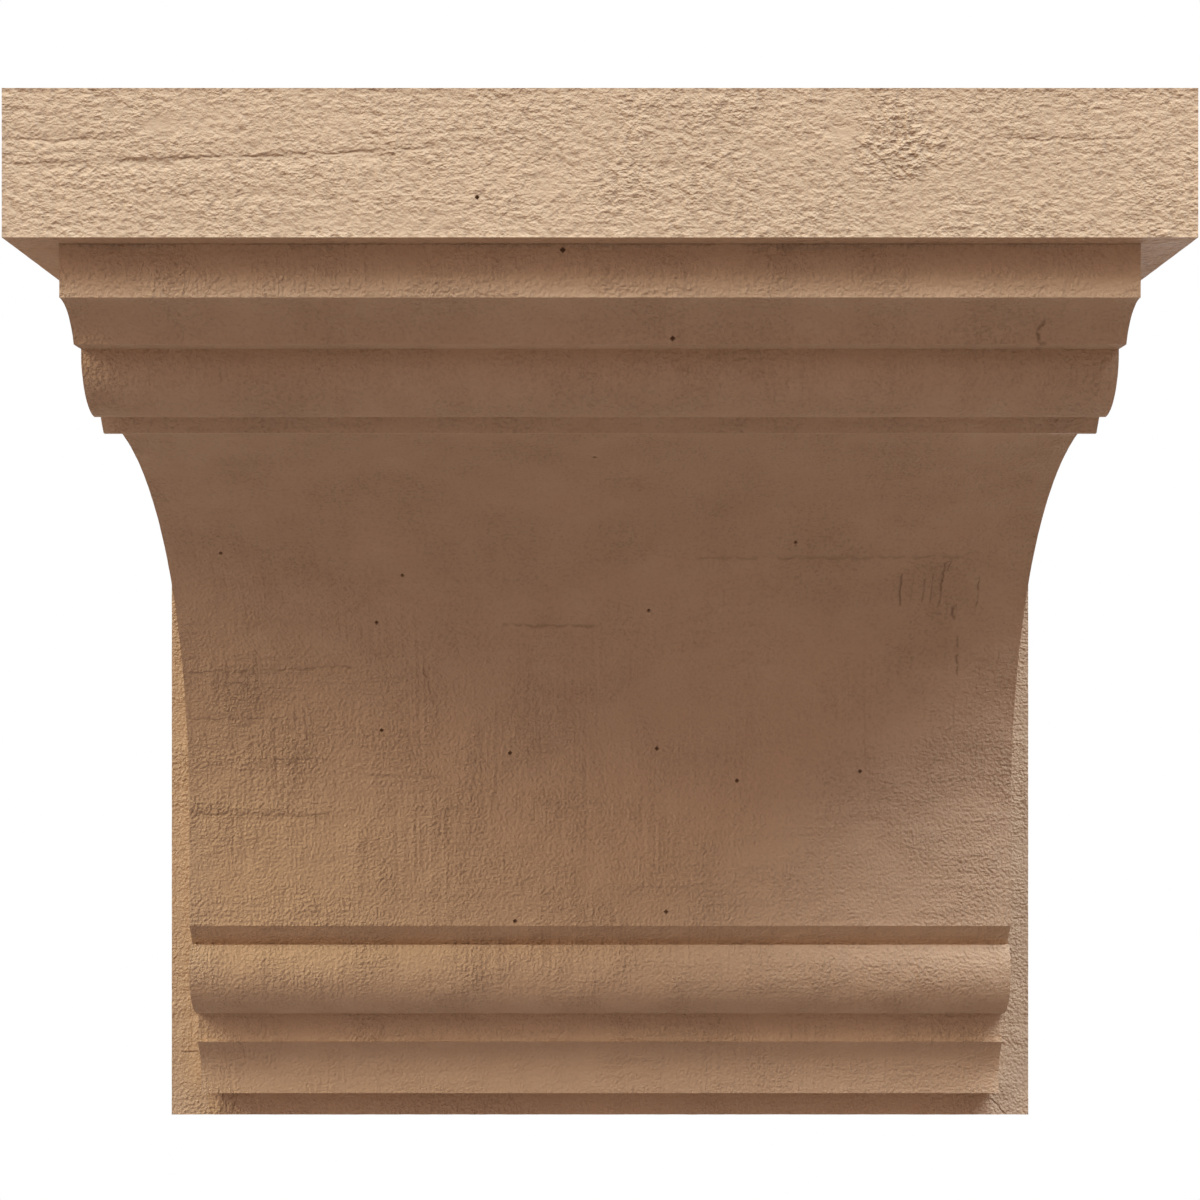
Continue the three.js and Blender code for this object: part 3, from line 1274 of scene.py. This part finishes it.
@dataclass(frozen=True)
class RoughSawnFinish:
    """Tan cast finish of a rough-sawn timber face: matte, crumbled, with painted shade in its tears,
    pinholes, crevices, creases and pores.
    """

    underside: float
    base: tuple[float, float, float] = (0.673, 0.51, 0.355)
    pale: tuple[float, float, float] = (0.704, 0.533, 0.371)
    # painted shade: the dark colour mixed in where tears, pinholes, crevices, creases and pores lie in
    # shade
    hollow: tuple[float, float, float] = (0.33, 0.215, 0.14)
    roughness: float = 0.74
    roughness_change: float = 0.08
    specular: float = 0.3
    cloud_size: float = 30 * MM
    sheen_size: float = 9 * MM
    bump_filter: float = 0.6
    grain_size: float = 1.35 * MM
    grain_pebble: float = 0.14
    crumb_size: float = 1.05 * MM
    crumb_pebble: float = 0.3
    streak_spacing: float = 2.6 * MM
    streak_share: float = 0.8
    plain_share: float = 0.5
    speck_size: float = 1.3 * MM
    speck_depth: float = 0.12
    # share of painted shade in the pores
    speck_shade_share: float = 0.11
    slab_height: float = 0.8
    crumb_height: float = 2.1
    streak_height: float = 1.1
    # share of painted shade in the grain's crevices
    crevice_shade_share: float = 0.4
    crease_depth: float = 0.4
    # share of painted shade in the creases
    crease_shade_share: float = 0.7
    # shares of painted shade in the deepest tears and in the pinholes
    tear_shade_share: float = 0.5
    pit_shade_share: float = 0.5
    wobble_size: float = 4 * MM
    wobble: float = 3.6
    slab_stretch: tuple[float, float, float] = (0.72, 0.8, 1.0)

    def make(self) -> bpy.types.Material:
        """Make the material.

        Returns:
            The material, with its colour, painted shade, roughness and bump from nodes.
        """
        material = bpy.data.materials.new("rough_sawn_timber_cast")
        material.use_nodes = True
        wiring = Wiring(material.node_tree)
        shader = material.node_tree.nodes["Principled BSDF"]
        shader.inputs["Specular IOR Level"].default_value = self.specular
        where = wiring.add("ShaderNodeTexCoord").outputs["Object"]
        coarse = wiring.add("ShaderNodeAttribute", {"attribute_name": "coarseness"}).outputs["Fac"]
        deep = wiring.add("ShaderNodeAttribute", {"attribute_name": "hollow"}).outputs["Fac"]
        specks = self._place(wiring, specks_group(), vector=where, size=self.speck_size).outputs["Mask"]
        relief, crevice_shade = self._grain(wiring, where)
        scaled = wiring.sum("MULTIPLY", relief, coarse)
        creases = self._creases(wiring, where)
        pored = wiring.sum("MULTIPLY_ADD", specks, -self.speck_depth, scaled)
        height = wiring.sum("MULTIPLY_ADD", creases, -self.crease_depth, pored)
        bump = wiring.add(
            "ShaderNodeBump", filter_width=self.bump_filter, distance=MM, height=height
        )
        wiring.tree.links.new(bump.outputs["Normal"], shader.inputs["Normal"])
        # painted shade in the grain's crevices
        crevice_shade = wiring.sum("MULTIPLY", wiring.sum("MULTIPLY", crevice_shade, coarse), self.crevice_shade_share)
        # painted shade in the creases
        crevice_shade = wiring.sum("MAXIMUM", wiring.sum("MULTIPLY", creases, self.crease_shade_share), crevice_shade)
        # painted shade in the deepest tears and in the pinholes, from the stored depth
        torn = wiring.ramp(deep, 0.45, 1.2, 0.0, self.tear_shade_share)
        carved_shade = wiring.sum("ADD", torn, wiring.ramp(deep, 1.2, 2.6, 0.0, self.pit_shade_share))
        cavity_shade = wiring.sum("MAXIMUM", carved_shade, crevice_shade)
        colour = self._colour(wiring, where, cavity_shade, specks)
        wiring.tree.links.new(colour, shader.inputs["Base Color"])
        sheen = wiring.cloud(where, self.sheen_size, 3.0)
        smoothest = self.roughness - self.roughness_change
        roughest = self.roughness + self.roughness_change
        rough = wiring.ramp(sheen, 0.3, 0.7, smoothest, roughest)
        wiring.tree.links.new(rough, shader.inputs["Roughness"])
        return material

    @staticmethod
    def _place(wiring: Wiring, group: bpy.types.NodeTree, **values: object) -> bpy.types.Node:
        """Place a node group in a material.

        Args:
            wiring: The material's wiring.
            group: The group.
            values: What each of its inputs gets, by its name.

        Returns:
            The node.
        """
        node = wiring.tree.nodes.new("ShaderNodeGroup")
        node.node_tree = group
        wiring.fill(node, values)
        return node

    def _creases(self, wiring: Wiring, where: bpy.types.NodeSocket) -> bpy.types.NodeSocket:
        """Mask of all creases, broken here and there, for their bump and their painted shade.

        Args:
            wiring: The material's wiring.
            where: Object coordinates.

        Returns:
            The mask, each crease at its own strength.
        """
        away = wiring.add("ShaderNodeAttribute", {"attribute_name": "crease_away"}).outputs["Fac"]
        strength = wiring.add("ShaderNodeAttribute", {"attribute_name": "crease_strength"}).outputs["Fac"]
        shake = wiring.cloud(where, self.wobble_size, 2.0)
        wavy = wiring.sum("MULTIPLY_ADD", wiring.sum("SUBTRACT", shake, 0.5), self.wobble, away)
        line = wiring.ramp(wiring.sum("ABSOLUTE", wavy), 0.0, 1.0, 1.0, 0.0)
        gaps = wiring.ramp(shake, 0.34, 0.5, 0.2, 1.0)
        return wiring.sum("MULTIPLY", wiring.sum("MULTIPLY", line, strength), gaps)

    def _grain(
        self, wiring: Wiring, where: bpy.types.NodeSocket
    ) -> tuple[bpy.types.NodeSocket, bpy.types.NodeSocket]:
        """Fine grain of the whole skin: torn fibre on the slab, crumbs and saw streaks below.

        Args:
            wiring: The material's wiring.
            where: Object coordinates.

        Returns:
            Its height in millimetres and a mask of its crevices, for painted shade.
        """
        place = wiring.add("ShaderNodeSeparateXYZ", vector=where).outputs
        above = wiring.sum("GREATER_THAN", place["Z"], self.underside - TINY)
        off_wall = wiring.sum("LESS_THAN", place["Y"], -MM)
        on_slab = wiring.sum("MULTIPLY", above, off_wall)
        squeeze = wiring.add(
            "ShaderNodeMix", {"data_type": "VECTOR"}, n0=on_slab, n4=(1, 1, 1), n5=self.slab_stretch
        ).outputs[1]
        grain = self._place(
            wiring, torn_grain_group(), vector=wiring.scaled(where, squeeze),
            size=self._either(wiring, on_slab, self.crumb_size, self.grain_size),
            pebble=self._either(wiring, on_slab, self.crumb_pebble, self.grain_pebble),
        ).outputs
        streaks = self._place(
            wiring, saw_streaks_group(), vector=where, spacing=self.streak_spacing
        ).outputs["Height"]
        weave = wiring.sum("MULTIPLY_ADD", streaks, self.streak_share, self.plain_share)
        slab = wiring.sum("MULTIPLY", grain["Height"], self.slab_height)
        woven = wiring.sum("MULTIPLY", wiring.sum("MULTIPLY", grain["Height"], weave), self.crumb_height)
        below = wiring.sum("MULTIPLY_ADD", streaks, self.streak_height, woven)
        # mask of the grain's crevices, for painted shade
        gaps = wiring.sum("MULTIPLY", self._either(wiring, on_slab, weave, 1.0), grain["Crevice"])
        return self._either(wiring, on_slab, below, slab), gaps

    @staticmethod
    def _either(
        wiring: Wiring, on_slab: bpy.types.NodeSocket, below: object, slab: object
    ) -> bpy.types.NodeSocket:
        """One value on the slab and another below it."""
        return wiring.add("ShaderNodeMix", n0=on_slab, n2=below, n3=slab).outputs[0]

    def _colour(
        self,
        wiring: Wiring,
        where: bpy.types.NodeSocket,
        cavity_shade: bpy.types.NodeSocket,
        specks: bpy.types.NodeSocket,
    ) -> bpy.types.NodeSocket:
        """Colour of the skin: its tan tone, with painted shade mixed in.

        Args:
            wiring: The material's wiring.
            where: Object coordinates.
            cavity_shade: How much painted shade a point gets in its tears, pinholes, crevices and creases.
            specks: Mask of the pores, which are painted darker as shade.

        Returns:
            The colour.
        """
        cloud = wiring.cloud(wiring.scaled(where, (0.5, 1.0, 1.0)), self.cloud_size, 3.0)
        blend = {"data_type": "RGBA"}
        tone = wiring.add(
            "ShaderNodeMix", blend, n0=wiring.ramp(cloud, 0.35, 0.65),
            n6=(*self.base, 1), n7=(*self.pale, 1),
        ).outputs[2]
        # painted shade: tears, pinholes, crevices, creases and pores mixed towards the dark shade colour
        shade = wiring.sum("MAXIMUM", cavity_shade, wiring.sum("MULTIPLY", specks, self.speck_shade_share))
        return wiring.add("ShaderNodeMix", blend, n0=shade, n6=tone, n7=(*self.hollow, 1)).outputs[2]


def main() -> None:
    """Build the casting, dress it and set the studio round it."""
    logging.basicConfig(level=logging.INFO, format="%(name)s: %(message)s")
    low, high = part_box(NODE)
    casting = Casting(low, high)
    piece = casting.build()
    LOG.info("%s: %d faces", piece.name, len(piece.data.polygons))
    make_active(piece)
    bpy.ops.object.shade_smooth_by_angle(angle=math.radians(25))
    SawnRelief(casting).carve(piece)
    studio = Studio(low.y)
    marks = Marks(piece, studio)
    marks.pierce(SLAB_PINHOLES, marks.slab_pit_radius)
    marks.pierce(PINHOLES, marks.pit_radius)
    marks.score()
    piece.data.materials.clear()
    piece.data.materials.append(RoughSawnFinish(casting.underside).make())
    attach(piece, BODY)
    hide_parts(NODE)
    studio.build()


if __name__ == "__main__":
    main()
